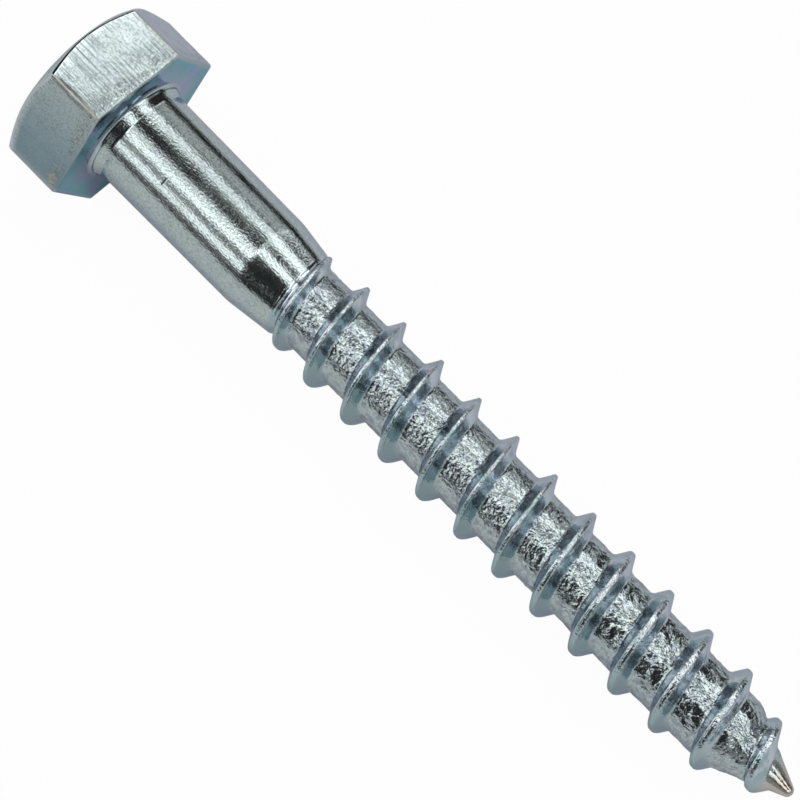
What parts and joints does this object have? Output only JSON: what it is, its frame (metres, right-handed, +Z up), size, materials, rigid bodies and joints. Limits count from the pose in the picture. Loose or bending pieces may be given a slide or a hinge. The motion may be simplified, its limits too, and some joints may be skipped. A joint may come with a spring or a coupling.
{
  "type": "lag screw",
  "caption": "Hexagon-head lag screw with a plain shank, a coarse right-hand wood thread and a gimlet point, driven into timber with a wrench.",
  "frame": {"origin": "on the surface that the screw lies on, under the middle of its length and on its centre line", "axes": "+X along its length from head to point, as seen from above; the point dips 2.7 degrees because the screw lies on the edge of its head and on a thread crest. +Z up, with one flat of the head on top"},
  "size_m": [0.0862, 0.0184, 0.0163],
  "materials": {
    "zinc_plated_steel": "bright zinc plate with a clear blue passivation on cold-formed steel"
  },
  "bodies": {
    "root": {"lag_screw": "zinc_plated_steel"}
  },
  "joints": []
}
